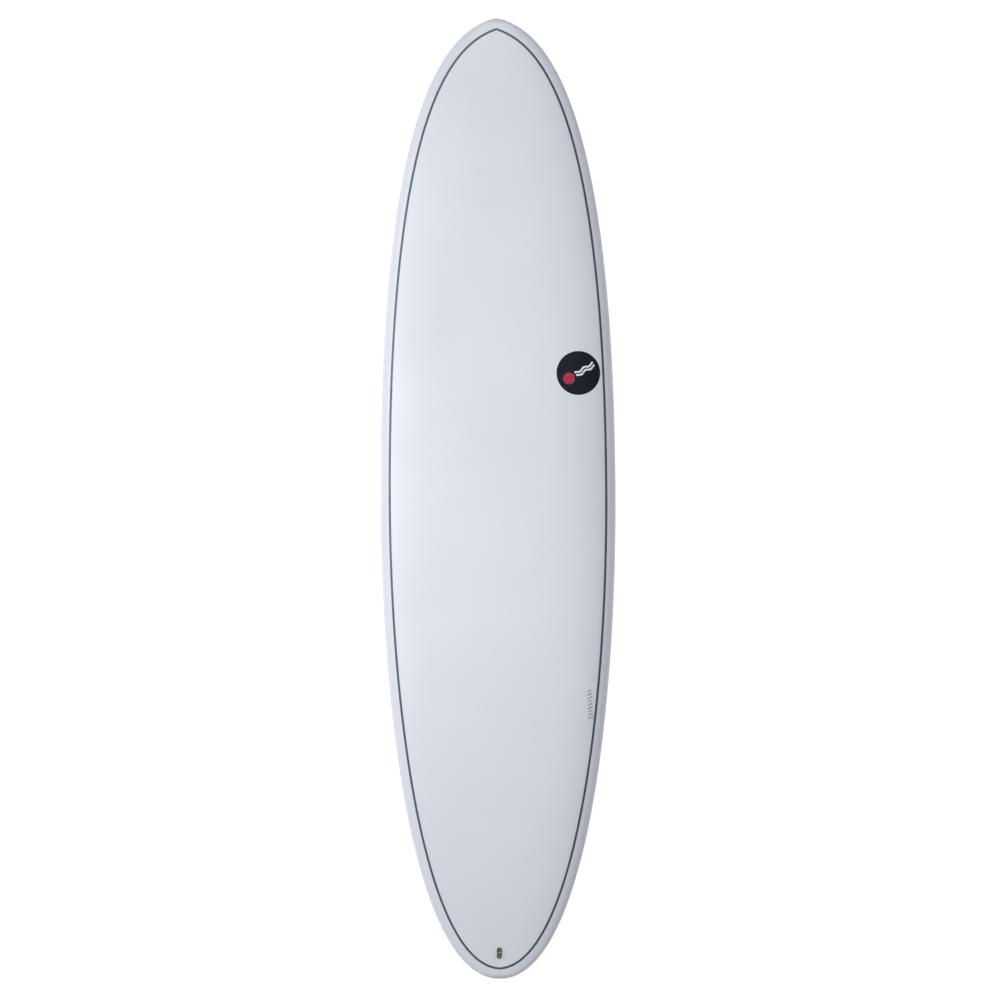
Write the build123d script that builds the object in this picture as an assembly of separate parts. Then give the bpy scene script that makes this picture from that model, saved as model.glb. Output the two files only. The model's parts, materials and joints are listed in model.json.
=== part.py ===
from build123d import *
import math
import os

# Mid-length round-nose surfboard with a thruster fin set, in millimetres.
# It is drawn deck up with the tail tip at Y = 0, the nose towards +Y and the
# lowest point of the bottom at Z = 0, then set down as it stands on a floor:
# on the tips of its two side fins and the belly of its bottom.

# Overall sizes
board_length = 2184.0
board_width = 540.0
board_thickness = 67.0

# Outline: one cubic curve from the wide point to each tip, as shares of the
# length and half width that it spans, with the angle of its end in degrees
wide_point_forward = 7.0
board_outline = {
    "nose_reach": 0.786, "nose_fullness": 0.491, "nose_angle": 10.9,
    "tail_reach": 0.485, "tail_fullness": 0.704, "tail_angle": 0.0,
}

# Rocker: rise of the bottom at each tip, and how late each curve rises
nose_rocker = 120.0
tail_rocker = 54.0
nose_rocker_power = 2.6
tail_rocker_power = 2.2
low_point_share = 0.45

# Thickness at the tips and roundness of the rail
tip_thickness = 17.0
tip_rounding = 14.0
apex_share_nose = 0.42
apex_share_middle = 0.38
apex_share_tail = 0.25
deck_crown = 0.72
rail_fullness = 0.90
tuck_width_middle = 45.0
tuck_width_tail = 14.0
tuck_blend_length = 800.0
tuck_limit = 0.5
tuck_rise_handle = 0.35
tuck_run_handle = 0.45

# Sections of the hull between the tips
tail_sections = 16
nose_sections = 16
section_crowding = 1.3
end_section = 0.003
line_points = 16

# Laminate and core
skin_thickness = 1.2
patch_thickness = 0.6
parting_drop = 0.45
deck_patch_length = 900.0
fin_patch_length = 520.0
stringer_thickness = 4.0
stringer_nose_gap = 20.0

# Pinline on the deck
pinline_width = 5.0
pinline_inset = 22.4
pinline_nose_gap = 25.8
pinline_tail_gap = 25.2
inlay_depth = 0.35
pinline_outline = {
    "nose_reach": 0.847, "nose_fullness": 0.402, "nose_angle": 18.3,
    "tail_reach": 0.466, "tail_fullness": 0.683, "tail_angle": 3.7,
}

# Round badge on the deck, with a sun and two waves that run up and out from it
badge_diameter = 100.0
badge_from_nose = 0.3667 * board_length
badge_rail_gap = 29.5
badge_tilt = 30.0
sun_diameter = 0.27 * badge_diameter
sun_along = -0.25 * badge_diameter
wave_start = -0.07 * badge_diameter
wave_end = 0.41 * badge_diameter
wave_length = 0.24 * badge_diameter
wave_height = 0.04 * badge_diameter
wave_width = 0.045 * badge_diameter
wave_rows = (0.01 * badge_diameter, -0.065 * badge_diameter)

# Row of slanted ticks near the right rail
tick_count = 9
tick_pitch = 7.6
tick_length = 13.0
tick_shortening = 0.18
tick_width = 1.5
tick_slant = 28.0
ticks_from_nose = 0.7134 * board_length
ticks_rail_gap = 38.55
ticks_turn = 2.5

# Leash plug near the tail
plug_from_tail = 60.0
recess_length = 26.0
recess_width = 12.5
recess_depth = 11.5
plug_wall = 1.5
plug_floor = 3.5
plug_flange_lip = 1.5
plug_flange_thickness = 2.4
plug_body_diameter = recess_length + 2 * plug_wall
plug_flange_diameter = plug_body_diameter + 2 * plug_flange_lip
plug_depth = recess_depth + plug_floor
leash_pin_diameter = 3.5
leash_pin_depth = 4.6
leash_pin_hold = 3.0
plug_insert_margin = 5.0
plug_insert_diameter = plug_flange_diameter + 2 * plug_insert_margin

# Fins: the base line, the blade's outline and its foil
fin_base = 114.0
fin_depth = 115.0
lead_outline = ((0.5, 0), (0.26, 0.52), (-0.26, 1.01), (-0.605, 0.99))
trail_outline = ((-0.5, 0), (-0.37, 0.30), (-0.53, 0.71), (-0.65, 0.94))
fin_thickness_share = 0.066
fin_thickness_tip = 1.3
fin_edge_thickness = 0.8
fin_sections = 9
foil_nose = 1.24
foil_full = 1.43
fin_gap = 0.4
side_fin_cant = 5.0
side_fin_toe = 3.0
side_foil_split = (0.90, 0.10)
centre_foil_split = (0.5, 0.5)
side_fin_from_tail = 298.0
side_fin_from_rail = 35.0

# Fin tabs and the box that they drop into
tab_length = 23.0
tab_thickness = 6.2
tab_height = 14.0
tab_spacing = 66.0
tab_side_clearance = 0.15
tab_end_clearance = 0.25
tab_floor_clearance = 0.6
box_end_wall = 13.5
box_rim = 0.92
box_flange_lip = 1.5
box_flange_thickness = 2.5
box_floor = 4.4
insert_end_margin = 8.0
insert_side_margin = 10.0
insert_gap = 5.0

# Grub screws that clamp the tabs
screw_diameter = 4.8
screw_length = 8.0
screw_tilt = 30.0
screw_head_depth = 1.6
screw_clearance = 0.05
screw_tip_gap = 0.15
screw_tip_chamfer = 0.4
screw_bore_beyond = 1.5
hex_key_size = 2.5
hex_socket_depth = 2.6

# Sizes that follow from the ones above
screw_lean = math.tan(math.radians(screw_tilt))
screw_upright = math.cos(math.radians(screw_tilt))
screw_tip_reach = tab_thickness / 2 + screw_tip_gap + screw_diameter / 2 * screw_upright
screw_tip_depth = screw_head_depth + screw_length * screw_upright
bore_radius = screw_diameter / 2 + screw_clearance
bore_mouth = screw_tip_reach + screw_tip_depth * screw_lean + bore_radius / screw_upright
box_length = tab_spacing + tab_length + 2 * box_end_wall
box_width = 2 * (bore_mouth + box_rim)
box_body_width = box_width - 2 * box_flange_lip
box_depth = tab_height + tab_floor_clearance + box_floor
insert_length = box_length + 2 * insert_end_margin
insert_width = box_width + 2 * insert_side_margin
centre_fin_middle = plug_from_tail + plug_insert_diameter / 2 + insert_gap + insert_length / 2

beyond = 400.0
proud = 8.0
search_steps = 40
slope_step = 0.5
pitch_passes = 8
half_width = board_width / 2
wide_point = board_length / 2 + wide_point_forward
middle = board_length / 2
low_point = low_point_share * board_length
patch_inset = skin_thickness + patch_thickness
tab_centres = (-tab_spacing / 2, tab_spacing / 2)


def bezier_point(points, u):
    """Place on a cubic Bezier curve."""
    v = 1 - u
    weights = (v ** 3, 3 * v * v * u, 3 * v * u * u, u ** 3)
    return tuple(sum(w * p[i] for w, p in zip(weights, points)) for i in range(2))


def bezier_slope(points, u):
    """Direction of a cubic Bezier curve."""
    v = 1 - u
    weights = (3 * v * v, 6 * v * u, 3 * u * u)
    return tuple(
        sum(w * (points[k + 1][i] - points[k][i]) for k, w in enumerate(weights))
        for i in range(2)
    )


def outline_curves(half, tail_y, nose_y, shape, grow=0.0):
    """Control points (half width, Y) of the tail and nose curves of an outline."""
    curves = []
    for end, side, tip_y in (("tail", -1, tail_y), ("nose", 1, nose_y)):
        span = abs(tip_y - wide_point)
        angle = math.radians(shape[end + "_angle"])
        fullness = shape[end + "_fullness"] * half
        handle = (
            fullness * math.cos(angle) + grow * math.sin(angle),
            tip_y - side * fullness * math.sin(angle) + side * grow * math.cos(angle),
        )
        tip = (0.0, tip_y + side * grow / math.cos(angle))
        waist = (half + grow, wide_point)
        reach = (half + grow, wide_point + side * shape[end + "_reach"] * span)
        curves.append((waist, reach, handle, tip))
    return curves


tail_curve, nose_curve = outline_curves(half_width, 0.0, board_length, board_outline)


def half_width_at(y):
    """Half width of the board's outline at a distance from the tail."""
    curve, sign = (nose_curve, 1) if y > wide_point else (tail_curve, -1)
    low, high = 0.0, 1.0
    for _ in range(search_steps):
        u = (low + high) / 2
        if sign * (bezier_point(curve, u)[1] - y) < 0:
            low = u
        else:
            high = u
    return bezier_point(curve, low)[0]


def bottom_height(y):
    """Height of the bottom's centre line, which is the rocker."""
    if y > low_point:
        return nose_rocker * ((y - low_point) / (board_length - low_point)) ** nose_rocker_power
    return tail_rocker * ((low_point - y) / low_point) ** tail_rocker_power


def bottom_slope(y):
    """Slope of the bottom's centre line."""
    return (bottom_height(y + slope_step) - bottom_height(y - slope_step)) / (2 * slope_step)


def thickness_at(y):
    """Foil of the board: its thickness along the centre line."""
    share = abs(y - middle) / middle
    return board_thickness - (board_thickness - tip_thickness) * share ** 2


def apex_height(y):
    """Height of the rail's outermost line."""
    share = abs(y - middle) / middle
    end = apex_share_nose if y > middle else apex_share_tail
    apex_share = apex_share_middle + (end - apex_share_middle) * share ** 2
    return bottom_height(y) + apex_share * thickness_at(y)


def tuck_width(width, y):
    """Width of the curve between the flat bottom and the rail's apex."""
    blend = min(max(y / tuck_blend_length, 0.0), 1.0)
    blend = blend * blend * (3 - 2 * blend)
    tuck = tuck_width_tail + (tuck_width_middle - tuck_width_tail) * blend
    return min(tuck, tuck_limit * width)


def hull_section(curve, side, u, inset):
    """Closed section across the board, inset evenly from its outer surface."""
    width, y = bezier_point(curve, u)
    dx, dy = bezier_slope(curve, u)
    size = math.hypot(dx, dy)
    width -= inset * abs(dy) / size
    y -= side * inset * abs(dx) / size
    tip_y = board_length if side > 0 else 0.0
    from_tip = min(abs(tip_y - side * inset - y), tip_rounding - inset)
    rounding = math.sqrt(1 - (1 - from_tip / (tip_rounding - inset)) ** 2)
    apex = apex_height(y)
    top = apex + (bottom_height(y) + thickness_at(y) - inset - apex) * rounding
    low = apex - (apex - bottom_height(y) - inset) * rounding
    tuck = tuck_width(width, y)
    flat = width - tuck
    rise = low + (apex - low) * tuck_rise_handle
    run = flat + tuck * (1 - tuck_run_handle)
    full = apex + (top - apex) * rail_fullness
    crown = deck_crown * width
    right_tuck = Edge.make_bezier((width, y, apex), (width, y, rise), (run, y, low), (flat, y, low))
    bottom = Edge.make_line((flat, y, low), (-flat, y, low))
    left_tuck = Edge.make_bezier((-flat, y, low), (-run, y, low), (-width, y, rise), (-width, y, apex))
    left_deck = Edge.make_bezier((-width, y, apex), (-width, y, full), (-crown, y, top), (0, y, top))
    right_deck = Edge.make_bezier((0, y, top), (crown, y, top), (width, y, full), (width, y, apex))
    return Wire([right_tuck, bottom, left_tuck, left_deck, right_deck])


def hull(inset=0.0):
    """The board's whole form, or the form a given depth under its surface."""
    sections = []
    for k in range(tail_sections + 1):
        u = 1 - end_section - (1 - end_section) * (k / tail_sections) ** section_crowding
        sections.append(hull_section(tail_curve, -1, u, inset))
    for k in range(nose_sections - 1, -1, -1):
        u = 1 - end_section - (1 - end_section) * (k / nose_sections) ** section_crowding
        sections.append(hull_section(nose_curve, 1, u, inset))
    return Solid.make_loft(sections, ruled=False)


def above(height_at):
    """Space over a line along the board, from rail to rail."""
    points = [Vector(0, board_length * k / line_points, 0) for k in range(line_points + 1)]
    points = [p + Vector(0, 0, height_at(p.Y)) for p in points]
    first, last = points[0], points[-1]
    corners = [
        last, Vector(0, board_length + beyond, last.Z), Vector(0, board_length + beyond, beyond),
        Vector(0, -beyond, beyond), Vector(0, -beyond, first.Z), first,
    ]
    edges = [Edge.make_spline(points)] + [Edge.make_line(a, b) for a, b in zip(corners, corners[1:])]
    face = Face(Wire(edges)).moved(Location((-beyond, 0, 0)))
    return Solid.extrude(face, Vector(2 * beyond, 0, 0))


def parting_height(y):
    """Line where the deck and bottom laminates meet, a little under the apex."""
    return apex_height(y) - parting_drop * (apex_height(y) - bottom_height(y))


def middle_height(y):
    """Half way up the board."""
    return bottom_height(y) + thickness_at(y) / 2


def block(x_from, x_to, y_from, y_to):
    """Upright block that takes in one stretch of the board."""
    solid = Box(x_to - x_from, y_to - y_from, 2 * beyond, align=(Align.MIN, Align.MIN, Align.CENTER))
    return solid.moved(Location((x_from, y_from, 0)))


def largest(shape):
    """The main solid of a cut."""
    return max(shape.solids(), key=lambda solid: solid.volume)


# ---- deck markings, each let into the laminate ----

def upright(face, y):
    """Column over a flat area, from inside the board to above its deck."""
    return Solid.extrude(face.moved(Location((0, 0, middle_height(y)))), Vector(0, 0, beyond))


def pinline_area(grow):
    """Flat area inside one edge of the pinline."""
    nose_end = board_length - pinline_nose_gap
    half = half_width - pinline_inset
    tail, nose = outline_curves(half, pinline_tail_gap, nose_end, pinline_outline, grow)
    edges = []
    for sign in (1, -1):
        for curve in (tail, nose):
            edges.append(Edge.make_bezier(*[(sign * x, y, 0) for x, y in curve]))
    return Face(Wire(edges))


def pinline_column(upper_half):
    """Upright band along the pinline, all the way round."""
    outer = Solid.extrude(pinline_area(pinline_width / 2), Vector(0, 0, beyond))
    inner = Solid.extrude(pinline_area(-pinline_width / 2), Vector(0, 0, beyond))
    return (outer - inner) & upper_half


def disc(diameter, centre=(0, 0)):
    """Flat round area."""
    return Face(Wire.make_circle(diameter / 2, Plane((centre[0], centre[1], 0))))


def wave(row):
    """Flat wavy band: a rising and falling curve, and the same moved by its width."""
    count = round(2 * (wave_end - wave_start) / wave_length)
    half_wave = (wave_end - wave_start) / count
    lower = []
    for k in range(count + 1):
        lower.append(Vector(wave_start + k * half_wave, row + wave_height / 2 * (-1) ** k, 0))
    upper = [point + Vector(0, wave_width, 0) for point in lower]
    level = Vector(1, 0, 0)
    under = Edge.make_spline(lower, tangents=[level, level])
    over = Edge.make_spline(upper, tangents=[level, level])
    ends = [Edge.make_line(lower[k], upper[k]) for k in (0, -1)]
    return Face(Wire([under, over] + ends))


def badge_columns():
    """Upright columns of the whole badge, and of its ground, its sun and its waves."""
    y = board_length - badge_from_nose
    x = half_width_at(y) - badge_rail_gap - badge_diameter / 2
    place = Location((x, y, 0), (0, 0, badge_tilt))
    whole = disc(badge_diameter)
    sun = disc(sun_diameter, (sun_along, 0))
    waves = [wave(row) for row in wave_rows]
    ground = (whole - [sun] - waves).faces()[0]
    areas = {"badge_disc": [ground], "badge_sun": [sun], "badge_waves": waves}
    columns = {}
    for name, faces in areas.items():
        columns[name] = [upright(face.moved(place), y) for face in faces]
    return upright(whole.moved(place), y), columns


def tick_columns():
    """Upright columns of the slanted strokes in a row along the rail."""
    y = board_length - ticks_from_nose
    place = Location((half_width_at(y) - ticks_rail_gap, y, 0), (0, 0, ticks_turn))
    columns = []
    for k in range(tick_count):
        length = tick_length * (1 - tick_shortening * (k % 3))
        along = (k - (tick_count - 1) / 2) * tick_pitch
        stroke = Face(Wire.make_rect(length, tick_width)).moved(Location((0, along, 0), (0, 0, tick_slant)))
        columns.append(upright(stroke.moved(place), y))
    return columns


# ---- leash plug, set into the deck near the tail ----

def plug_place():
    """Frame on the deck's surface over the plug: X along the board, Z up."""
    deck = bottom_height(plug_from_tail) + thickness_at(plug_from_tail)
    return Location((0, plug_from_tail, deck), (0, 0, 90))


def plug_outside():
    """The plug's own form, standing proud of the deck before it is sanded flush."""
    flange = Cylinder(plug_flange_diameter / 2, plug_flange_thickness + proud)
    flange = flange.moved(Location((0, 0, (proud - plug_flange_thickness) / 2)))
    barrel = Cylinder(plug_body_diameter / 2, plug_depth)
    barrel = barrel.moved(Location((0, 0, -plug_depth / 2)))
    return (flange + barrel).moved(plug_place())


def plug_recess():
    """Slot in the plug for the leash string, round at both ends."""
    slot = extrude(SlotOverall(recess_length, recess_width), amount=recess_depth + proud)
    return slot.moved(plug_place() * Location((0, 0, -recess_depth)))


def leash_pin():
    """Steel pin across the plug's slot."""
    pin = Cylinder(leash_pin_diameter / 2, recess_width + 2 * leash_pin_hold, rotation=(90, 0, 0))
    return pin.moved(plug_place() * Location((0, 0, -leash_pin_depth)))


# ---- fins, boxes and grub screws, in a frame on the bottom's surface ----
# X points forward along the fin, Y to the right and Z out of the board.

def fin_place(x, y, toe, side):
    """Frame at the middle of a fin's base."""
    slope = bottom_slope(y)
    turn = math.radians(toe)
    forward = Vector(-side * math.sin(turn), math.cos(turn), slope * math.cos(turn))
    return Plane((x, y, bottom_height(y)), x_dir=forward, z_dir=(0, slope, -1)).location


def foil_section(lead, trail, split, cant):
    """Closed foil between a point of the leading edge and one of the trailing edge."""
    chord = math.dist(lead, trail)
    thickness = fin_thickness_share * chord + fin_thickness_tip
    base_thickness = fin_thickness_share * fin_base + fin_thickness_tip
    centring = -base_thickness * (split[0] - split[1]) / 2
    lean = math.tan(math.radians(cant))

    def place(share, side):
        x = lead[0] + (trail[0] - lead[0]) * share
        z = lead[1] + (trail[1] - lead[1]) * share
        return Vector(x, centring + z * lean + side, fin_gap + z)

    nose, full = foil_nose * thickness, foil_full * thickness
    outer = [place(0, 0), place(0, nose * split[0]), place(0.5, full * split[0]),
             place(1, fin_edge_thickness * split[0])]
    inner = [place(1, -fin_edge_thickness * split[1]), place(0.5, -full * split[1]),
             place(0, -nose * split[1]), place(0, 0)]
    edge = Edge.make_line(outer[-1], inner[0])
    return Wire([Edge.make_bezier(*outer), edge, Edge.make_bezier(*inner)])


def fin(split, cant):
    """Foiled blade with the two tabs that drop into its box."""
    lead = [(x * fin_base, z * fin_depth) for x, z in lead_outline]
    trail = [(x * fin_base, z * fin_depth) for x, z in trail_outline]
    sections = []
    for k in range(fin_sections + 1):
        u = k / fin_sections
        sections.append(foil_section(bezier_point(lead, u), bezier_point(trail, u), split, cant))
    solid = Solid.make_loft(sections, ruled=False)
    height = tab_height + fin_gap
    for x in tab_centres:
        tab = Box(tab_length, tab_thickness, height, align=(Align.CENTER, Align.CENTER, Align.MIN))
        solid += tab.moved(Location((x, 0, -tab_height)))
    return solid


def box_outside():
    """Fin box with its flange, standing proud of the bottom before it is sanded flush."""
    body = extrude(SlotOverall(box_length, box_body_width), amount=-box_depth)
    flange = extrude(SlotOverall(box_length, box_width), amount=proud + box_flange_thickness)
    return body + flange.moved(Location((0, 0, -box_flange_thickness)))


def box_slots():
    """The two slots for a fin's tabs."""
    length = tab_length + 2 * tab_end_clearance
    width = tab_thickness + 2 * tab_side_clearance
    depth = tab_height + tab_floor_clearance
    slots = []
    for x in tab_centres:
        slot = Box(length, width, depth + proud, align=(Align.CENTER, Align.CENTER, Align.MIN))
        slots.append(slot.moved(Location((x, 0, -depth))))
    return slots


def screw_place(x, side):
    """Frame at a grub screw's tip, with Z out along its bore."""
    out = (0, side * screw_lean, 1)
    return Plane((x, side * screw_tip_reach, -screw_tip_depth), x_dir=(1, 0, 0), z_dir=out).location


def screw_bore(x, side):
    """Slanted bore from the box's face into the side of a tab's slot."""
    length = screw_length + screw_bore_beyond + proud
    bore = Cylinder(bore_radius, length, align=(Align.CENTER, Align.CENTER, Align.MIN))
    return bore.moved(screw_place(x, side) * Location((0, 0, -screw_bore_beyond)))


def grub_screw(x, side):
    """Headless screw with a hex socket, chamfered at its tip."""
    screw = Cylinder(screw_diameter / 2, screw_length, align=(Align.CENTER, Align.CENTER, Align.MIN))
    screw = chamfer(screw.edges().sort_by(Axis.Z)[0], screw_tip_chamfer)
    socket = extrude(RegularPolygon(hex_key_size / 2, 6, major_radius=False), amount=hex_socket_depth)
    screw -= socket.moved(Location((0, 0, screw_length - hex_socket_depth)))
    return screw.moved(screw_place(x, side))


def insert_column():
    """Full-depth block of dense foam around a fin box."""
    column = extrude(SlotOverall(insert_length, insert_width), amount=2 * board_thickness)
    return column.moved(Location((0, 0, proud - 2 * board_thickness)))


def fin_positions():
    """Name, frame, foil, cant, mirror and screw side of each of the three fins."""
    side_x = half_width_at(side_fin_from_tail) - side_fin_from_rail
    toe = math.radians(side_fin_toe)
    side_y = side_fin_from_tail + fin_base / 2 * math.cos(toe)
    side_x -= fin_base / 2 * math.sin(toe)
    rows = []
    for name, side in (("left", -1), ("right", 1)):
        place = fin_place(side * side_x, side_y, side_fin_toe, side)
        rows.append((name, place, side_foil_split, side_fin_cant, side < 0, -side))
    centre = fin_place(0, centre_fin_middle, 0, 1)
    rows.append(("centre", centre, centre_foil_split, 0, False, 1))
    return rows


def fin_sets(outer, under_patch):
    """Every piece of the three fin sets, and the room that they need in the board."""
    nodes, boxes, columns = {}, [], []
    for name, place, split, cant, mirrored, screw_side in fin_positions():
        outside = box_outside().moved(place)
        room = box_slots() + [screw_bore(x, screw_side) for x in tab_centres]
        box = outside & outer
        for cut in room:
            box -= cut.moved(place)
        column = insert_column().moved(place)
        blade = fin(split, cant)
        if mirrored:
            blade = blade.mirror(Plane.XZ)
        nodes["fin_box_" + name] = box
        nodes["fin_insert_" + name] = (column & under_patch) - outside
        nodes["fin_" + name] = blade.moved(place)
        for end, x in zip(("rear", "front"), tab_centres):
            nodes["grub_screw_" + name + "_" + end] = grub_screw(x, screw_side).moved(place)
        boxes.append(outside)
        columns.append(column)
    return nodes, boxes, columns


def board_body(outer, boxes, columns):
    """Laminates, patches, core, stringer and deck markings."""
    under_skin = hull(skin_thickness)
    under_patch = hull(patch_inset)
    under_inlay = hull(inlay_depth)
    deck_side = above(parting_height)
    upper_half = above(middle_height)
    plug = plug_outside()
    plug_column = Cylinder(plug_insert_diameter / 2, beyond).moved(Location((0, plug_from_tail, 0)))
    nodes = {}

    nodes["pinline"] = pinline_column(upper_half) - under_inlay
    whole_badge, markings = badge_columns()
    markings["rail_marks"] = tick_columns()
    for name, uprights in markings.items():
        nodes[name] = Compound([largest(column - under_inlay) for column in uprights])

    shell = outer - under_skin
    deck = (shell & deck_side) - plug - nodes["pinline"]
    for column in [whole_badge] + markings["rail_marks"]:
        deck -= largest(column - under_inlay)
    nodes["deck_skin"] = deck
    bottom = shell - deck_side
    for name in ("pinline", *markings):
        nodes[name] = nodes[name] & outer

    deck_cut = (block(-beyond, beyond, -beyond, deck_patch_length) & deck_side) - under_patch
    fin_cut = (block(-beyond, beyond, -beyond, fin_patch_length) - deck_side) - under_patch
    nodes["deck_patch"] = (deck_cut & under_skin) - plug
    fin_patch = fin_cut & under_skin
    core = under_skin - deck_cut - fin_cut
    for box in boxes:
        bottom -= box
        fin_patch -= box
    nodes["bottom_skin"] = bottom
    nodes["fin_patch"] = fin_patch

    for column in columns + [plug_column]:
        core -= column
    wood = stringer_thickness / 2
    stringer_start = centre_fin_middle + insert_length / 2
    board = block(-wood, wood, stringer_start, board_length - stringer_nose_gap)
    nodes["stringer"] = largest(core & board)
    core -= board
    nodes["foam_core_left"] = largest(core & block(-beyond, 0, -beyond, board_length + beyond))
    nodes["foam_core_right"] = largest(core & block(0, beyond, -beyond, board_length + beyond))

    nodes["leash_plug_insert"] = (plug_column & under_patch) - plug
    nodes["leash_plug_cup"] = (plug & outer) - plug_recess() - leash_pin()
    nodes["leash_plug_pin"] = leash_pin()
    return nodes


def standing_place(fin_low, outer):
    """Turn and move that stand the board on its side fins' tips and its belly."""
    pitch = 0.0
    for _ in range(pitch_passes):
        turn = Location((0, 0, 0), (-pitch, 0, 0))
        drop = outer.moved(turn).bounding_box().min.Z - fin_low.moved(turn).bounding_box().min.Z
        pitch += math.degrees(drop / middle)
    turn = Location((0, 0, 0), (-pitch, 0, 0))
    box = outer.moved(turn).bounding_box()
    floor = min(box.min.Z, fin_low.moved(turn).bounding_box().min.Z)
    return Location((0, -(box.min.Y + box.max.Y) / 2, -floor)) * turn, pitch


def main():
    outer = hull()
    under_patch = hull(patch_inset)
    nodes, boxes, columns = fin_sets(outer, under_patch)
    nodes.update(board_body(outer, boxes, columns))
    standing, pitch = standing_place(nodes["fin_right"], outer)
    os.makedirs("parts", exist_ok=True)
    for name, shape in sorted(nodes.items()):
        solids = shape.solids()
        placed = Compound(solids) if len(solids) > 1 else solids[0]
        export_step(placed.moved(standing), "parts/" + name + ".step")
    print("pitch", round(pitch, 4))
    for name, place, _, _, _, screw_side in fin_positions():
        frame = Plane(standing * place)
        print("fin", name, tuple(frame.origin), tuple(frame.z_dir))
        for end, x in zip(("rear", "front"), tab_centres):
            screw = Plane(standing * place * screw_place(x, screw_side))
            print("screw", name, end, tuple(screw.origin), tuple(screw.z_dir))
    plug = Plane(standing * plug_place())
    print("plug", tuple(plug.origin), tuple(plug.z_dir), tuple(plug.x_dir))


main()
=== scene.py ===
import json
import math

import bmesh
import bpy
from mathutils import Matrix, Vector
from mathutils.bvhtree import BVHTree


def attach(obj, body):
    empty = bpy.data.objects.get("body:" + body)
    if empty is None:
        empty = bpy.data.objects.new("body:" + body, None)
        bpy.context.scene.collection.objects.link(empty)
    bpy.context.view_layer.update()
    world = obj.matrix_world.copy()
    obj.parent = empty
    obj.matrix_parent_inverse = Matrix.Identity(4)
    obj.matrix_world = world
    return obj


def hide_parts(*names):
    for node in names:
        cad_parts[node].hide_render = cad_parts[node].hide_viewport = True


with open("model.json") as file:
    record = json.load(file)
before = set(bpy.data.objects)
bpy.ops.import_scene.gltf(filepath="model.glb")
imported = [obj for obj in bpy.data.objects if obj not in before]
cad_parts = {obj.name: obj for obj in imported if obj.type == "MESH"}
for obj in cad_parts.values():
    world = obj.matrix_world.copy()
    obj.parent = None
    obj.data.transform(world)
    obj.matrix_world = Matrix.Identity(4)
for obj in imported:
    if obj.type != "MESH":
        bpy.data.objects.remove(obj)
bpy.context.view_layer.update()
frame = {"nodes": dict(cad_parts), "record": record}
nodes = frame["nodes"]
scene = bpy.context.scene

# shape of the board in metres: tail tip at y = 0, nose towards +y, before it is set down on its fins
board = {
    "length": 2.184, "width": 0.540, "thickness": 0.067, "widePointForward": 0.007,
    "noseRocker": 0.120, "noseRockerPower": 2.6, "tailRocker": 0.054, "tailRockerPower": 2.2,
    "lowPointShare": 0.45, "tipThickness": 0.017, "tipRounding": 0.014,
    "apexShareNose": 0.42, "apexShareMiddle": 0.38, "apexShareTail": 0.25,
    "deckCrown": 0.72, "railFullness": 0.90,
    "tuckMiddle": 0.045, "tuckTail": 0.014, "tuckBlend": 0.800, "tuckLimit": 0.5,
    "tuckRise": 0.35, "tuckRun": 0.45, "partingOnTuck": 0.2634,
    "outline": {"noseReach": 0.786, "noseFullness": 0.491, "noseAngle": 10.9,
                "tailReach": 0.485, "tailFullness": 0.704, "tailAngle": 0.0},
}
middle = board["length"] / 2
widePoint = middle + board["widePointForward"]
lowPoint = board["lowPointShare"] * board["length"]


def curvePoint(points, u):    # point on a cubic Bezier curve
    v = 1 - u
    weights = (v ** 3, 3 * v * v * u, 3 * v * u * u, u ** 3)
    return [sum(w * p[i] for w, p in zip(weights, points)) for i in range(2)]


def outlineCurves(half, tailY, noseY, shape):    # a curve from the waist, at u = 0, to each tip
    curves = []
    for end, side, tipY in (("tail", -1, tailY), ("nose", 1, noseY)):
        angle = math.radians(shape[end + "Angle"])
        full = shape[end + "Fullness"] * half
        reach = widePoint + side * shape[end + "Reach"] * abs(tipY - widePoint)
        handle = (full * math.cos(angle), tipY - side * full * math.sin(angle))
        curves.append(((half, widePoint), (half, reach), handle, (0, tipY)))
    return curves


def bottomHeight(y):    # rocker
    if y > lowPoint:
        share = (y - lowPoint) / (board["length"] - lowPoint)
        return board["noseRocker"] * share ** board["noseRockerPower"]
    return board["tailRocker"] * ((lowPoint - y) / lowPoint) ** board["tailRockerPower"]


def thicknessAt(y):    # foil
    share = abs(y - middle) / middle
    return board["thickness"] - (board["thickness"] - board["tipThickness"]) * share ** 2


def apexHeight(y):    # the rail's outermost line
    share = abs(y - middle) / middle
    end = board["apexShareNose"] if y > middle else board["apexShareTail"]
    apexShare = board["apexShareMiddle"] + (end - board["apexShareMiddle"]) * share ** 2
    return bottomHeight(y) + apexShare * thicknessAt(y)


def tuckWidth(width, y):    # how far the rail's tuck reaches in under the board
    blend = min(max(y / board["tuckBlend"], 0), 1)
    blend = blend * blend * (3 - 2 * blend)
    tuck = board["tuckTail"] + (board["tuckMiddle"] - board["tuckTail"]) * blend
    return min(tuck, board["tuckLimit"] * width)


hullCurves = outlineCurves(board["width"] / 2, 0, board["length"], board["outline"])


def sectionCurves(along, crowding):    # along runs from -1 at the tail to 1 at the nose
    curve = hullCurves[1] if along > 0 else hullCurves[0]
    width, y = curvePoint(curve, 1 - (1 - abs(along)) ** crowding)
    fromTip = min(y, board["length"] - y, board["tipRounding"])
    rounding = math.sqrt(max(0, 1 - (1 - fromTip / board["tipRounding"]) ** 2))
    apex = apexHeight(y)
    top = apex + (bottomHeight(y) + thicknessAt(y) - apex) * rounding
    low = apex - (apex - bottomHeight(y)) * rounding
    tuck = tuckWidth(width, y)
    flat = width - tuck
    deck = ((0, top), (board["deckCrown"] * width, top),
            (width, apex + (top - apex) * board["railFullness"]), (width, apex))
    under = ((width, apex), (width, low + (apex - low) * board["tuckRise"]),
             (flat + tuck * (1 - board["tuckRun"]), low), (flat, low))
    return y, deck, under


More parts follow.
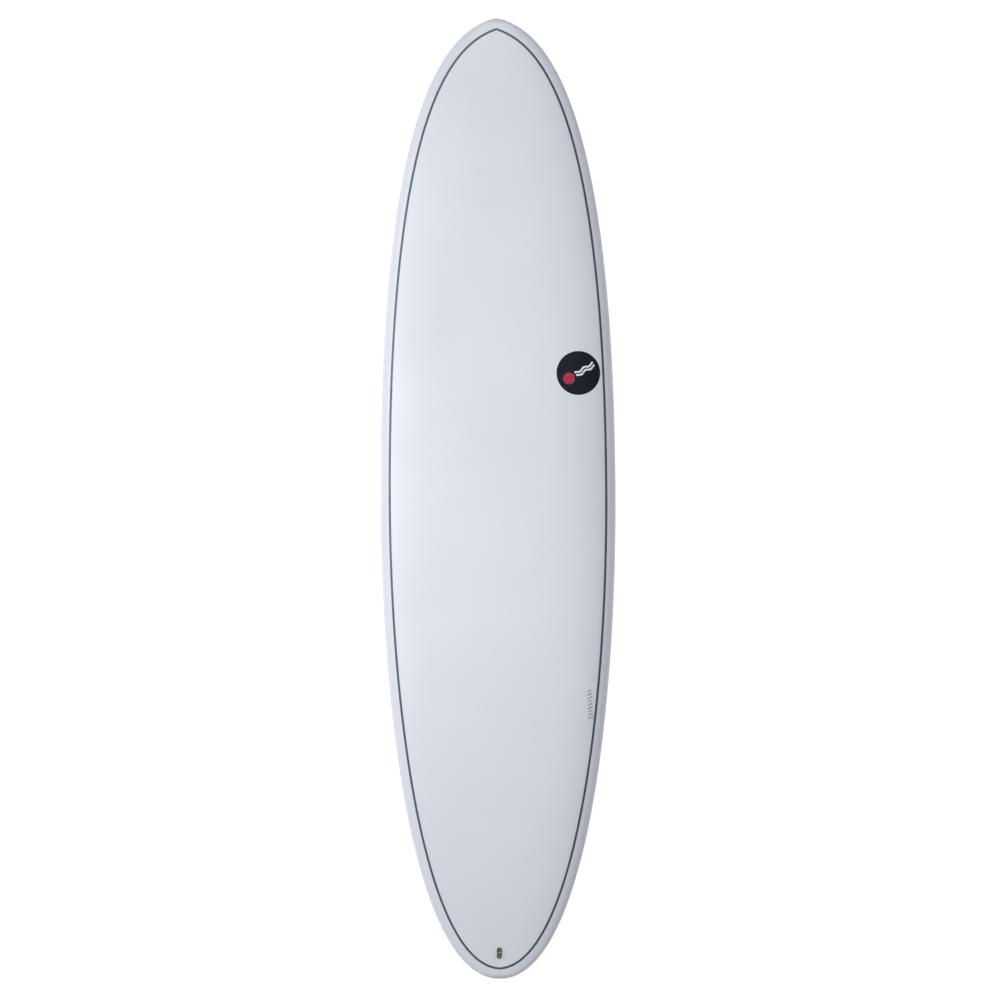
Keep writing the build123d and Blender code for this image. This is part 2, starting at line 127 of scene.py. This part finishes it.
# fine shells wrapped on the hull, with the rows crowded towards the tips
shell = {"alongSteps": 280, "deckSteps": 92, "deckShare": 0.88, "bottomSteps": 72, "flatShare": 0.55,
         "crowding": 1.3, "wall": 0.0012, "merge": 1e-5, "sharpAngle": 50.0}


def deckPoint(along, across):    # across runs from rail to rail, to a little way under each apex
    y, deck, under = sectionCurves(along, shell["crowding"])
    side, share = math.copysign(1, across), abs(across)
    if share <= shell["deckShare"]:
        x, z = curvePoint(deck, share / shell["deckShare"])
    else:
        past = (share - shell["deckShare"]) / (1 - shell["deckShare"])
        x, z = curvePoint(under, board["partingOnTuck"] * past)
    return Vector((side * x, y, z))


def bottomPoint(along, across):    # across runs between the two lines where the shells meet
    y, deck, under = sectionCurves(along, shell["crowding"])
    side, share = math.copysign(1, across), abs(across)
    if share <= shell["flatShare"]:
        x, z = under[3][0] * share / shell["flatShare"], under[3][1]
    else:
        past = (share - shell["flatShare"]) / (1 - shell["flatShare"])
        x, z = curvePoint(under, 1 - past * (1 - board["partingOnTuck"]))
    return Vector((side * x, y, z))


# the leash bar's place in the record says how the board is turned and moved on to its fins
plug = {"fromTail": 0.060, "barDepth": 0.0046, "flangeDiameter": 0.032}
leashBar = next(m for m in frame["record"]["mounts"] if m["name"] == "leash_bar")
standTurn = Matrix.Rotation(-math.atan2(leashBar["axis"][1], leashBar["axis"][2]), 4, "X")
plugTop = bottomHeight(plug["fromTail"]) + thicknessAt(plug["fromTail"])
barAtRest = standTurn @ Vector((0, plug["fromTail"], plugTop - plug["barDepth"]))
standing = Matrix.Translation(Vector(leashBar["pos_m"]) - barAtRest) @ standTurn

# materials: every pattern reads Object coordinates, in metres
noiseRange = {"colourFrom": 0.35, "colourTo": 0.65, "roughFrom": 0.3, "roughTo": 0.7}    # part that shows


def newMaterial(name, **values):    # values go on the shader's own sockets
    material = bpy.data.materials.new(name)
    material.use_nodes = True
    shader = material.node_tree.nodes["Principled BSDF"]
    for socket, value in values.items():
        shader.inputs[socket.replace("_", " ")].default_value = value
    return material, shader


def addNode(material, kind, source=None, output=0, socket=0, **settings):
    node = material.node_tree.nodes.new(kind)
    for key, value in settings.items():
        if key in node.inputs:
            node.inputs[key].default_value = value
        else:
            setattr(node, key, value)
    if source:
        material.node_tree.links.new(source.outputs[output], node.inputs[socket])
    return node


def link(material, source, output, target, socket):
    material.node_tree.links.new(source.outputs[output], target.inputs[socket])


def objectPlace(material, scale=(1, 1, 1), turn=0.0):
    place = addNode(material, "ShaderNodeTexCoord")
    mapping = addNode(material, "ShaderNodeMapping", place, "Object", "Vector")
    mapping.inputs["Scale"].default_value = scale
    mapping.inputs["Rotation"].default_value = (0, 0, turn)
    return mapping


def colourRange(material, shader, source, output, colours):
    ramp = addNode(material, "ShaderNodeValToRGB", source, output, "Fac")
    ramp.color_ramp.elements[0].position = noiseRange["colourFrom"]
    ramp.color_ramp.elements[1].position = noiseRange["colourTo"]
    for element, colour in zip(ramp.color_ramp.elements, colours):
        element.color = (*colour, 1)
    link(material, ramp, "Color", shader, "Base Color")


def noise(material, place, scale, detail=3.0):
    return addNode(material, "ShaderNodeTexNoise", place, "Vector", "Vector", Scale=scale, Detail=detail)


def roughnessRange(material, shader, source, output, values):
    spread = addNode(material, "ShaderNodeMapRange", source, output, "Value")
    spread.inputs["From Min"].default_value = noiseRange["roughFrom"]
    spread.inputs["From Max"].default_value = noiseRange["roughTo"]
    spread.inputs["To Min"].default_value = values[0]
    spread.inputs["To Max"].default_value = values[1]
    link(material, spread, "Result", shader, "Roughness")


def bumpFrom(material, shader, source, output, strength, distance):
    bump = addNode(material, "ShaderNodeBump", source, output, "Height",
                   Strength=strength, Distance=distance)
    link(material, bump, "Normal", shader, "Normal")


glass = {"ior": 1.5, "smudgeDetail": 5.0, "threadWaver": 0.6, "peelDetail": 2.0, "bumpDepth": 0.0004}


def laminate(name, values):    # white epoxy, with the cloth's two thread directions under it
    material, shader = newMaterial(name, IOR=glass["ior"], Coat_Weight=values["coat"],
                                   Coat_Roughness=values["coatRoughness"])
    place = objectPlace(material)
    colourRange(material, shader, noise(material, place, values["blotch"]), "Fac", values["colours"])
    smudges = noise(material, place, values["smudge"], glass["smudgeDetail"])
    roughnessRange(material, shader, smudges, "Fac", values["roughness"])
    threads = []
    for turn in (0.0, math.pi / 2):
        turned = objectPlace(material, turn=turn)
        threads.append(addNode(material, "ShaderNodeTexWave", turned, "Vector", "Vector",
                               Scale=values["weave"], Distortion=glass["threadWaver"]))
    cloth = addNode(material, "ShaderNodeMath", threads[0], "Fac", 0, operation="MULTIPLY")
    link(material, threads[1], "Fac", cloth, 1)
    height = addNode(material, "ShaderNodeMath", cloth, 0, 0, operation="MULTIPLY_ADD")
    height.inputs[1].default_value = values["clothShare"]
    link(material, noise(material, place, values["peel"], glass["peelDetail"]), "Fac", height, 2)
    bumpFrom(material, shader, height, 0, values["bump"], glass["bumpDepth"])
    return material


ink = {"coatRoughness": 0.15, "coverDetail": 5.0, "smudge": 60.0, "roughness": (0.34, 0.5),
       "grain": 700.0, "grainDetail": 2.0, "bump": 0.15, "bumpDepth": 0.0002}


def printedInk(name, values):    # ink with uneven cover, under the top coat
    material, shader = newMaterial(name, Coat_Weight=values["coat"], Coat_Roughness=ink["coatRoughness"],
                                   Specular_IOR_Level=values["sheen"])
    place = objectPlace(material)
    cover = noise(material, place, values["scale"], ink["coverDetail"])
    colourRange(material, shader, cover, "Fac", values["colours"])
    roughnessRange(material, shader, noise(material, place, ink["smudge"]), "Fac", ink["roughness"])
    grain = noise(material, place, ink["grain"], ink["grainDetail"])
    bumpFrom(material, shader, grain, "Fac", ink["bump"], ink["bumpDepth"])
    return material


nylon = {"coatRoughness": 0.25, "fleckDetail": 8.0, "smudge": 45.0, "bumpDepth": 0.0002}


def mouldedNylon(name, values):    # spark-eroded mould texture, with short fibres showing as flecks
    material, shader = newMaterial(name, Coat_Weight=values["coat"], Coat_Roughness=nylon["coatRoughness"])
    place = objectPlace(material)
    flecks = noise(material, place, values["fleck"], nylon["fleckDetail"])
    colourRange(material, shader, flecks, "Fac", values["colours"])
    roughnessRange(material, shader, noise(material, place, nylon["smudge"]), "Fac", values["roughness"])
    grain = addNode(material, "ShaderNodeTexVoronoi", place, "Vector", "Vector", Scale=values["grain"])
    bumpFrom(material, shader, grain, "Distance", values["bump"], nylon["bumpDepth"])
    # painted shade in the leash cup's recess
    if "recessShade" in values:
        addRecessShade(material, shader, place, values)
    return material


def addRecessShade(material, shader, place, values):    # painted shade: darker with depth under the deck, standing in for the shade inside the leash cup
    up = standTurn.to_3x3() @ Vector((0, 0, 1))
    surface = (standing @ Vector((0, plug["fromTail"], plugTop))).dot(up)
    height = addNode(material, "ShaderNodeVectorMath", place, "Vector", 0, operation="DOT_PRODUCT")
    height.inputs[1].default_value = up
    depth = addNode(material, "ShaderNodeMapRange", height, "Value", "Value")
    depth.inputs["From Min"].default_value = surface - values["recessShadeFrom"]
    depth.inputs["From Max"].default_value = surface - values["recessShadeTo"]
    unshaded = shader.inputs["Base Color"].links[0].from_node
    mix = addNode(material, "ShaderNodeMix", data_type="RGBA")    # colours: inputs 6 and 7, output 2
    link(material, depth, "Result", mix, "Factor")
    link(material, unshaded, "Color", mix, 6)
    mix.inputs[7].default_value = (*values["recessShade"], 1)
    link(material, mix, 2, shader, "Base Color")


# steel's own colour, set darker than bare stainless as painted shade so the leash pin reads as shaded in
# its cup
steel = {"colours": ((0.30, 0.30, 0.31), (0.45, 0.45, 0.46)), "anisotropy": 0.4, "stretch": (1, 1, 6),
         "marks": 420.0, "marksDetail": 6.0, "smudge": 700.0, "roughness": (0.22, 0.42),
         "grain": 2600.0, "bump": 0.15, "bumpDepth": 0.0001}


def turnedSteel(name):    # fine turning marks, closest along z
    material, shader = newMaterial(name, Metallic=1.0, Anisotropic=steel["anisotropy"])
    place = objectPlace(material, scale=steel["stretch"])
    marks = noise(material, place, steel["marks"], steel["marksDetail"])
    colourRange(material, shader, marks, "Fac", steel["colours"])
    roughnessRange(material, shader, noise(material, place, steel["smudge"]), "Fac", steel["roughness"])
    grain = noise(material, place, steel["grain"])
    bumpFrom(material, shader, grain, "Fac", steel["bump"], steel["bumpDepth"])
    return material


foam = {"subsurface": 0.15, "tone": 30.0, "smudge": 90.0, "roughness": (0.7, 0.9),
        "bump": 0.6, "bumpDepth": 0.002}


def beadFoam(name, values):    # closed cells pressed together
    material, shader = newMaterial(name, Subsurface_Weight=foam["subsurface"])
    place = objectPlace(material)
    cells = addNode(material, "ShaderNodeTexVoronoi", place, "Vector", "Vector",
                    Scale=values["cell"], feature="DISTANCE_TO_EDGE")
    colourRange(material, shader, noise(material, place, foam["tone"]), "Fac", values["colours"])
    roughnessRange(material, shader, noise(material, place, foam["smudge"]), "Fac", foam["roughness"])
    bumpFrom(material, shader, cells, "Distance", foam["bump"], foam["bumpDepth"])
    return material


wood = {"colours": ((0.52, 0.34, 0.18), (0.72, 0.54, 0.33)), "stretch": (40, 1.2, 40),
        "grain": 9.0, "grainDetail": 6.0, "smudge": 25.0, "roughness": (0.45, 0.65),
        "pores": 22.0, "poresDetail": 8.0, "bump": 0.3, "bumpDepth": 0.0006}


def planedWood(name):    # long grain
    material, shader = newMaterial(name)
    place = objectPlace(material, scale=wood["stretch"])
    grain = noise(material, place, wood["grain"], wood["grainDetail"])
    colourRange(material, shader, grain, "Fac", wood["colours"])
    roughnessRange(material, shader, noise(material, place, wood["smudge"]), "Fac", wood["roughness"])
    pores = noise(material, place, wood["pores"], wood["poresDetail"])
    bumpFrom(material, shader, pores, "Fac", wood["bump"], wood["bumpDepth"])
    return material


deckValues = {
    "colours": ((0.765, 0.799, 0.880), (0.790, 0.823, 0.904)), "blotch": 2.2,
    "roughness": (0.36, 0.50), "smudge": 7.0, "coat": 0.25, "coatRoughness": 0.30,
    "weave": 190.0, "clothShare": 0.35, "peel": 260.0, "bump": 0.10,
}
bottomValues = {
    "colours": ((0.830, 0.845, 0.880), (0.860, 0.872, 0.902)), "blotch": 1.6,
    "roughness": (0.16, 0.26), "smudge": 5.0, "coat": 0.6, "coatRoughness": 0.08,
    "weave": 190.0, "clothShare": 0.12, "peel": 120.0, "bump": 0.06,
}
patchValues = {
    "colours": ((0.62, 0.68, 0.63), (0.72, 0.76, 0.71)), "blotch": 6.0,
    "roughness": (0.25, 0.40), "smudge": 12.0, "coat": 0.3, "coatRoughness": 0.2,
    "weave": 120.0, "clothShare": 1.5, "peel": 90.0, "bump": 0.35,
}
inkValues = {
    "pinline_blue": {"colours": ((0.060, 0.085, 0.115), (0.085, 0.112, 0.145)), "scale": 240.0,
                     "coat": 0.2, "sheen": 0.3},
    "badge_ink": {"colours": ((0.009, 0.012, 0.020), (0.014, 0.018, 0.029)), "scale": 160.0,
                  "coat": 0.0, "sheen": 0.08},
    "badge_coral": {"colours": ((0.40, 0.020, 0.065), (0.52, 0.036, 0.095)), "scale": 200.0,
                    "coat": 0.0, "sheen": 0.2},
    "badge_pale": {"colours": ((0.84, 0.85, 0.87), (0.90, 0.91, 0.93)), "scale": 200.0,
                   "coat": 0.1, "sheen": 0.4},
    "mark_grey": {"colours": ((0.018, 0.021, 0.028), (0.034, 0.038, 0.048)), "scale": 300.0,
                  "coat": 0.2, "sheen": 0.3},
}
nylonValues = {
    "plug_plastic": {"colours": ((0.72, 0.745, 0.76), (0.78, 0.80, 0.80)), "fleck": 140.0,
                     "roughness": (0.28, 0.42), "coat": 0.2, "grain": 1400.0, "bump": 0.10,
                     # painted shade: the cup's inside darkens towards this colour with depth under the
                     # deck
                     "recessShade": (0.20, 0.21, 0.20), "recessShadeFrom": 0.0012, "recessShadeTo": 0.0060},
    "box_plastic": {"colours": ((0.62, 0.63, 0.64), (0.70, 0.71, 0.72)), "fleck": 160.0,
                    "roughness": (0.30, 0.45), "coat": 0.15, "grain": 1200.0, "bump": 0.12},
    "fin_black": {"colours": ((0.012, 0.013, 0.015), (0.030, 0.031, 0.034)), "fleck": 420.0,
                  "roughness": (0.30, 0.46), "coat": 0.2, "grain": 900.0, "bump": 0.14},
}
foamValues = {
    "foam": {"colours": ((0.80, 0.80, 0.77), (0.88, 0.88, 0.86)), "cell": 230.0},
    "dense_foam": {"colours": ((0.62, 0.53, 0.34), (0.72, 0.64, 0.44)), "cell": 900.0},
}
finish = {
    "deck_gloss": laminate("deckFinish", deckValues),
    "bottom_gloss": laminate("bottomFinish", bottomValues),
    "glass_patch": laminate("patchFinish", patchValues),
    "stringer_wood": planedWood("stringerFinish"),
    "stainless": turnedSteel("steelFinish"),
}
for maker, table in ((printedInk, inkValues), (mouldedNylon, nylonValues), (beadFoam, foamValues)):
    for slotName, values in table.items():
        finish[slotName] = maker(slotName + "Finish", values)

nodeSlot = {part["node"]: part["material_slot"] for part in frame["record"]["subparts"]}
nodeBody = {name: body for body, names in frame["record"]["behaviour"]["bodies"].items() for name in names}
for name, node in nodes.items():    # every CAD node gets the finish of its slot
    node.data.materials.clear()
    node.data.materials.append(finish[nodeSlot[name]])
print("materials made")


def linkMesh(bm, name):
    mesh = bpy.data.meshes.new(name)
    bm.to_mesh(mesh)
    bm.free()
    thing = bpy.data.objects.new(name, mesh)
    scene.collection.objects.link(thing)
    return thing


def placePiece(piece, node):    # the piece rides as its CAD node does and wears that node's finish
    piece.data.materials.clear()
    piece.data.materials.append(finish[nodeSlot[node]])
    piece.data.shade_smooth()
    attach(piece, nodeBody[node])
    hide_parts(node)


def applyModifiers(piece):
    graph = bpy.context.evaluated_depsgraph_get()
    graph.update()
    mesh = bpy.data.meshes.new_from_object(piece.evaluated_get(graph))
    piece.modifiers.clear()
    piece.data = mesh
    mesh.name = piece.name


def addWall(piece, thickness):
    wall = piece.modifiers.new("wall", "SOLIDIFY")
    wall.thickness = thickness
    wall.offset = -1


column = {"steps": 64, "height": 0.03}    # cuts the openings for the leash plug and the fin boxes


def holeCutter(name, length, diameter, place):    # column with round ends, through a shell
    bm = bmesh.new()
    bmesh.ops.create_cone(bm, cap_ends=True, segments=column["steps"], radius1=diameter / 2,
                          radius2=diameter / 2, depth=column["height"])
    spread = (length - diameter) / 2
    for vert in bm.verts:
        vert.co.x += math.copysign(spread, vert.co.x)
    bmesh.ops.transform(bm, matrix=place, verts=bm.verts)
    return linkMesh(bm, name)


def makeShell(name, node, pointAt, acrossSteps, cutters):
    bm = bmesh.new()
    bmesh.ops.create_grid(bm, x_segments=acrossSteps, y_segments=shell["alongSteps"], size=1)
    for vert in bm.verts:
        vert.co = pointAt(vert.co.y, vert.co.x)
    bmesh.ops.remove_doubles(bm, verts=bm.verts, dist=shell["merge"])
    bmesh.ops.recalc_face_normals(bm, faces=bm.faces)
    tree = BVHTree.FromBMesh(bm)
    bmesh.ops.transform(bm, matrix=standing, verts=bm.verts)
    piece = linkMesh(bm, name)
    addWall(piece, shell["wall"])
    for cutter in cutters:
        hole = piece.modifiers.new("hole", "BOOLEAN")
        hole.object = cutter
        hole.solver = "EXACT"
    placePiece(piece, node)
    applyModifiers(piece)
    piece.data.set_sharp_from_angle(angle=math.radians(shell["sharpAngle"]))
    for cutter in cutters:
        bpy.data.objects.remove(cutter)
    return tree


plugPlace = standing @ Matrix.Translation((0, plug["fromTail"], plugTop))
plugHole = holeCutter("plugHole", plug["flangeDiameter"], plug["flangeDiameter"], plugPlace)
deckTree = makeShell("deckLaminate", "deck_skin", deckPoint, shell["deckSteps"], [plugHole])
print("deck laminate made")

# fin boxes on the bottom: their middles as in the CAD, each along its fin
boxes = {"length": 0.116, "width": 0.028, "sideFromTail": 0.298, "sideFromRail": 0.035, "toe": 3.0,
         "finBase": 0.114, "centreMiddle": 0.152, "searchSteps": 40, "slopeStep": 0.0005}


def outlineWidthAt(y):    # halves the tail's curve again and again until it is at y
    low, high = 0.0, 1.0
    for _ in range(boxes["searchSteps"]):
        share = (low + high) / 2
        if curvePoint(hullCurves[0], share)[1] > y:
            low = share
        else:
            high = share
    return curvePoint(hullCurves[0], low)[0]


def boxPlace(x, y, toe, side):    # x forward along the fin and z out of the bottom
    step = boxes["slopeStep"]
    slope = (bottomHeight(y + step) - bottomHeight(y - step)) / (2 * step)
    turn = math.radians(toe)
    forward = Vector((-side * math.sin(turn), math.cos(turn), slope * math.cos(turn))).normalized()
    out = Vector((0, slope, -1)).normalized()
    place = Matrix((forward, out.cross(forward), out)).transposed().to_4x4()
    place.translation = (x, y, bottomHeight(y))
    return standing @ place


halfBase = boxes["finBase"] / 2
toeTurn = math.radians(boxes["toe"])
sideX = outlineWidthAt(boxes["sideFromTail"]) - boxes["sideFromRail"] - halfBase * math.sin(toeTurn)
sideY = boxes["sideFromTail"] + halfBase * math.cos(toeTurn)
boxPlaces = {
    "left": boxPlace(-sideX, sideY, boxes["toe"], -1),
    "right": boxPlace(sideX, sideY, boxes["toe"], 1),
    "centre": boxPlace(0, boxes["centreMiddle"], 0, 1),
}
boxHoles = [holeCutter(name + "Hole", boxes["length"], boxes["width"], place)
            for name, place in boxPlaces.items()]
makeShell("bottomLaminate", "bottom_skin", bottomPoint, shell["bottomSteps"], boxHoles)
print("bottom laminate made")

# markings: thin films laid on the deck
film = {"lift": 0.00012, "thickness": 0.0003, "castHeight": 0.4, "merge": 1e-5, "sharpAngle": 50.0}


def layOnDeck(bm, name, node, lift):    # drops a flat mesh, drawn in plan, on to the deck
    for vert in bm.verts:
        start = Vector((vert.co.x, vert.co.y, film["castHeight"]))
        point, normal, _, _ = deckTree.ray_cast(start, Vector((0, 0, -1)))
        vert.co = point + normal * math.copysign(lift, normal.z)
    bmesh.ops.recalc_face_normals(bm, faces=bm.faces)
    if sum(face.normal.z for face in bm.faces) < 0:
        bmesh.ops.reverse_faces(bm, faces=bm.faces)
    bmesh.ops.transform(bm, matrix=standing, verts=bm.verts)
    piece = linkMesh(bm, name)
    addWall(piece, film["thickness"])
    placePiece(piece, node)
    applyModifiers(piece)
    piece.data.set_sharp_from_angle(angle=math.radians(film["sharpAngle"]))


# thin line all round the deck, a little way in from the rail
pinline = {"width": 0.0050, "inset": 0.0224, "noseGap": 0.0258, "tailGap": 0.0252,
           "roundSteps": 640, "acrossSteps": 4, "reach": 0.0001,
           "outline": {"noseReach": 0.847, "noseFullness": 0.402, "noseAngle": 18.3,
                       "tailReach": 0.466, "tailFullness": 0.683, "tailAngle": 3.7}}
pinCurves = outlineCurves(board["width"] / 2 - pinline["inset"], pinline["tailGap"],
                          board["length"] - pinline["noseGap"], pinline["outline"])


def pinlinePoint(share):    # once round the line, from tail to nose up one side and back down the other
    share %= 2
    side = 1 if share <= 1 else -1
    along = 2 * (share if share <= 1 else 2 - share) - 1
    curve = pinCurves[1] if along > 0 else pinCurves[0]
    x, y = curvePoint(curve, 1 - (1 - abs(along)) ** shell["crowding"])
    return Vector((side * x, y, 0))


bm = bmesh.new()
bmesh.ops.create_grid(bm, x_segments=pinline["acrossSteps"], y_segments=pinline["roundSteps"], size=1)
for vert in bm.verts:
    share, across = vert.co.y + 1, vert.co.x
    forward = pinlinePoint(share + pinline["reach"]) - pinlinePoint(share - pinline["reach"])
    forward.normalize()
    outward = Vector((forward.y, -forward.x, 0))
    vert.co = pinlinePoint(share) + outward * across * pinline["width"] / 2
bmesh.ops.remove_doubles(bm, verts=bm.verts, dist=film["merge"])
layOnDeck(bm, "pinlineFilm", "pinline", film["lift"])

# round badge by the right rail: a sun and two waves, on a line that rises to the right
badge = {"diameter": 0.100, "fromNose": 0.8009, "fromCentre": 0.1845, "tilt": 30.0,
         "rings": 16, "spokes": 128,
         "sunDiameter": 0.027, "sunAlong": -0.025, "sunRings": 6, "sunSpokes": 72,
         "waveStart": -0.007, "waveEnd": 0.041, "waveLength": 0.024, "waveHeight": 0.004,
         "waveWidth": 0.0045, "waveRows": (0.001, -0.0065), "waveSteps": (72, 3)}
badgePlace = (Matrix.Translation((badge["fromCentre"], board["length"] - badge["fromNose"], 0))
              @ Matrix.Rotation(math.radians(badge["tilt"]), 4, "Z"))


def discMesh(diameter, along, rings, spokes):    # rings of faces round a middle point
    bm = bmesh.new()
    bmesh.ops.create_grid(bm, x_segments=rings, y_segments=spokes, size=1)
    for vert in bm.verts:
        radius = diameter / 2 * (vert.co.x + 1) / 2
        angle = math.pi * vert.co.y
        vert.co = (along + radius * math.cos(angle), radius * math.sin(angle), 0)
    bmesh.ops.remove_doubles(bm, verts=bm.verts, dist=film["merge"])
    return bm


bm = discMesh(badge["diameter"], 0, badge["rings"], badge["spokes"])
bmesh.ops.transform(bm, matrix=badgePlace, verts=bm.verts)
layOnDeck(bm, "badgeGround", "badge_disc", film["lift"])
bm = discMesh(badge["sunDiameter"], badge["sunAlong"], badge["sunRings"], badge["sunSpokes"])
bmesh.ops.transform(bm, matrix=badgePlace, verts=bm.verts)
layOnDeck(bm, "badgeSun", "badge_sun", 2 * film["lift"])

alongSteps, acrossSteps = badge["waveSteps"]
bm = bmesh.new()
for row in badge["waveRows"]:
    band = bmesh.ops.create_grid(bm, x_segments=alongSteps, y_segments=acrossSteps, size=1)
    for vert in band["verts"]:
        along = badge["waveStart"] + (badge["waveEnd"] - badge["waveStart"]) * (vert.co.x + 1) / 2
        swing = math.cos(math.tau * (along - badge["waveStart"]) / badge["waveLength"])
        up = row + badge["waveHeight"] / 2 * swing + badge["waveWidth"] * (vert.co.y + 1) / 2
        vert.co = (along, up, 0)
bmesh.ops.transform(bm, matrix=badgePlace, verts=bm.verts)
layOnDeck(bm, "badgeWaves", "badge_waves", 2 * film["lift"])

# row of slanted strokes by the right rail, of three lengths in turn
ticks = {"count": 9, "pitch": 0.0076, "length": 0.013, "shortening": 0.18, "width": 0.0015, "slant": 28.0,
         "fromNose": 1.558, "fromCentre": 0.209, "turn": 2.5, "lengthKinds": 3, "steps": (8, 2)}
tickRow = (Matrix.Translation((ticks["fromCentre"], board["length"] - ticks["fromNose"], 0))
           @ Matrix.Rotation(math.radians(ticks["turn"]), 4, "Z"))
alongSteps, acrossSteps = ticks["steps"]
bm = bmesh.new()
for k in range(ticks["count"]):
    length = ticks["length"] * (1 - ticks["shortening"] * (k % ticks["lengthKinds"]))
    stroke = bmesh.ops.create_grid(bm, x_segments=alongSteps, y_segments=acrossSteps, size=0.5)
    place = (tickRow @ Matrix.Translation((0, (k - (ticks["count"] - 1) / 2) * ticks["pitch"], 0))
             @ Matrix.Rotation(math.radians(ticks["slant"]), 4, "Z")
             @ Matrix.Diagonal((length, ticks["width"], 1, 1)))
    bmesh.ops.transform(bm, matrix=place, verts=stroke["verts"])
layOnDeck(bm, "railTicks", "rail_marks", film["lift"])
print("markings laid")

# fittings: copies of their CAD solids with the moulded and machined edges eased, each by its own width
easing = {"merge": 1e-6, "flatUnder": 1.0, "sharpOver": 35.0, "segments": 3, "normalWeight": 80}
fittings = {
    "plugCup": ("leash_plug_cup", 0.00035), "plugPin": ("leash_plug_pin", 0.0002),
    "boxLeft": ("fin_box_left", 0.0003), "boxRight": ("fin_box_right", 0.0003),
    "boxCentre": ("fin_box_centre", 0.0003),
}
for side in ("left", "right", "centre"):
    for end in ("front", "rear"):
        fittings[side + end.capitalize() + "Screw"] = (f"grub_screw_{side}_{end}", 0.0001)


def easedCopy(name, node, ease):
    bm = bmesh.new()
    bm.from_mesh(nodes[node].data)
    bmesh.ops.remove_doubles(bm, verts=bm.verts, dist=easing["merge"])
    flat, sharp = math.radians(easing["flatUnder"]), math.radians(easing["sharpOver"])
    bmesh.ops.dissolve_limit(bm, angle_limit=flat, verts=bm.verts, edges=bm.edges)
    bmesh.ops.recalc_face_normals(bm, faces=bm.faces)
    edges = [edge for edge in bm.edges if len(edge.link_faces) == 2 and edge.calc_face_angle() > sharp]
    bmesh.ops.bevel(bm, geom=edges, affect="EDGES", offset=ease, segments=easing["segments"],
                    profile=0.5, material=-1, clamp_overlap=True)
    piece = linkMesh(bm, name)
    placePiece(piece, node)
    normals = piece.modifiers.new("normals", "WEIGHTED_NORMAL")
    normals.weight = easing["normalWeight"]
    applyModifiers(piece)


for name, (node, ease) in fittings.items():
    easedCopy(name, node, ease)
print("fittings made")

# a pale floor that glows a little, a pale wall far behind it, two soft lamps and the camera over the deck
stage = {"floorSize": 60.0, "paperColour": (0.35, 0.353, 0.356), "paperRoughness": 0.9, "floorGlow": 0.87,
         "wallInset": 1.0, "wallBelow": 0.5, "wallHeight": 16.0, "wallSteps": 96, "wallGlow": 0.76,
         "worldColour": (0.95, 0.97, 1.0), "worldStrength": 0.09,
         "lampAim": (0, 0, 0.1), "sensorWidth": 36.0, "cameraDistance": 7.0, "viewHeight": 2.282,
         "shiftAcross": 0.0020, "shiftUp": 0.0008, "roll": 0.2}
lights = {
    "keyLight": {"at": (-1.9, 0.3, 2.6), "size": (1.2, 2.2), "power": 58.0},
    "fillLight": {"at": (-0.1, 0.3, 3.4), "size": (1.6, 2.2), "power": 38.0},
}
bm = bmesh.new()
bmesh.ops.create_grid(bm, x_segments=1, y_segments=1, size=stage["floorSize"] / 2)
floor = linkMesh(bm, "floor")
wallRadius = stage["floorSize"] / 2 - stage["wallInset"]
bm = bmesh.new()
bmesh.ops.create_cone(bm, cap_ends=False, segments=stage["wallSteps"], radius1=wallRadius,
                      radius2=wallRadius, depth=stage["wallHeight"])
wall = linkMesh(bm, "backWall")
wall.location.z = stage["wallHeight"] / 2 - stage["wallBelow"]
wall.visible_diffuse = False    # closes off low views without adding light to the rails
wall.visible_glossy = False
wall.visible_shadow = False
for thing, glow in ((floor, stage["floorGlow"]), (wall, stage["wallGlow"])):
    paper, shader = newMaterial(thing.name + "Finish", Roughness=stage["paperRoughness"],
                                Emission_Strength=glow)
    shader.inputs["Base Color"].default_value = (*stage["paperColour"], 1)
    shader.inputs["Emission Color"].default_value = (1, 1, 1, 1)
    thing.data.materials.append(paper)

for name, values in lights.items():
    data = bpy.data.lights.new(name, "AREA")
    data.shape = "RECTANGLE"
    data.size, data.size_y = values["size"]
    data.energy = values["power"]
    lamp = bpy.data.objects.new(name, data)
    lamp.location = values["at"]
    aimAt = Vector(stage["lampAim"]) - lamp.location
    lamp.rotation_euler = aimAt.to_track_quat("-Z", "Y").to_euler()
    scene.collection.objects.link(lamp)

world = bpy.data.worlds.new("studio")
world.use_nodes = True
background = world.node_tree.nodes["Background"]
background.inputs["Color"].default_value = (*stage["worldColour"], 1)
background.inputs["Strength"].default_value = stage["worldStrength"]
scene.world = world
scene.view_settings.view_transform = "Standard"

deckUp = standTurn.to_3x3() @ Vector((0, 0, 1))
noseward = standTurn.to_3x3() @ Vector((0, 1, 0))
sideways = noseward.cross(deckUp)
aim = standing @ Vector((0, middle, board["thickness"]))
cameraData = bpy.data.cameras.new("camera")
cameraData.sensor_width = stage["sensorWidth"]
cameraData.lens = stage["sensorWidth"] * stage["cameraDistance"] / stage["viewHeight"]
cameraData.shift_x = stage["shiftAcross"]
cameraData.shift_y = stage["shiftUp"]
camera = bpy.data.objects.new("camera", cameraData)
facing = Matrix((sideways, noseward, deckUp)).transposed().to_4x4()
roll = Matrix.Rotation(-math.radians(stage["roll"]), 4, "Z")
camera.matrix_world = Matrix.Translation(aim + deckUp * stage["cameraDistance"]) @ facing @ roll
scene.collection.objects.link(camera)
scene.camera = camera
print("stage made")
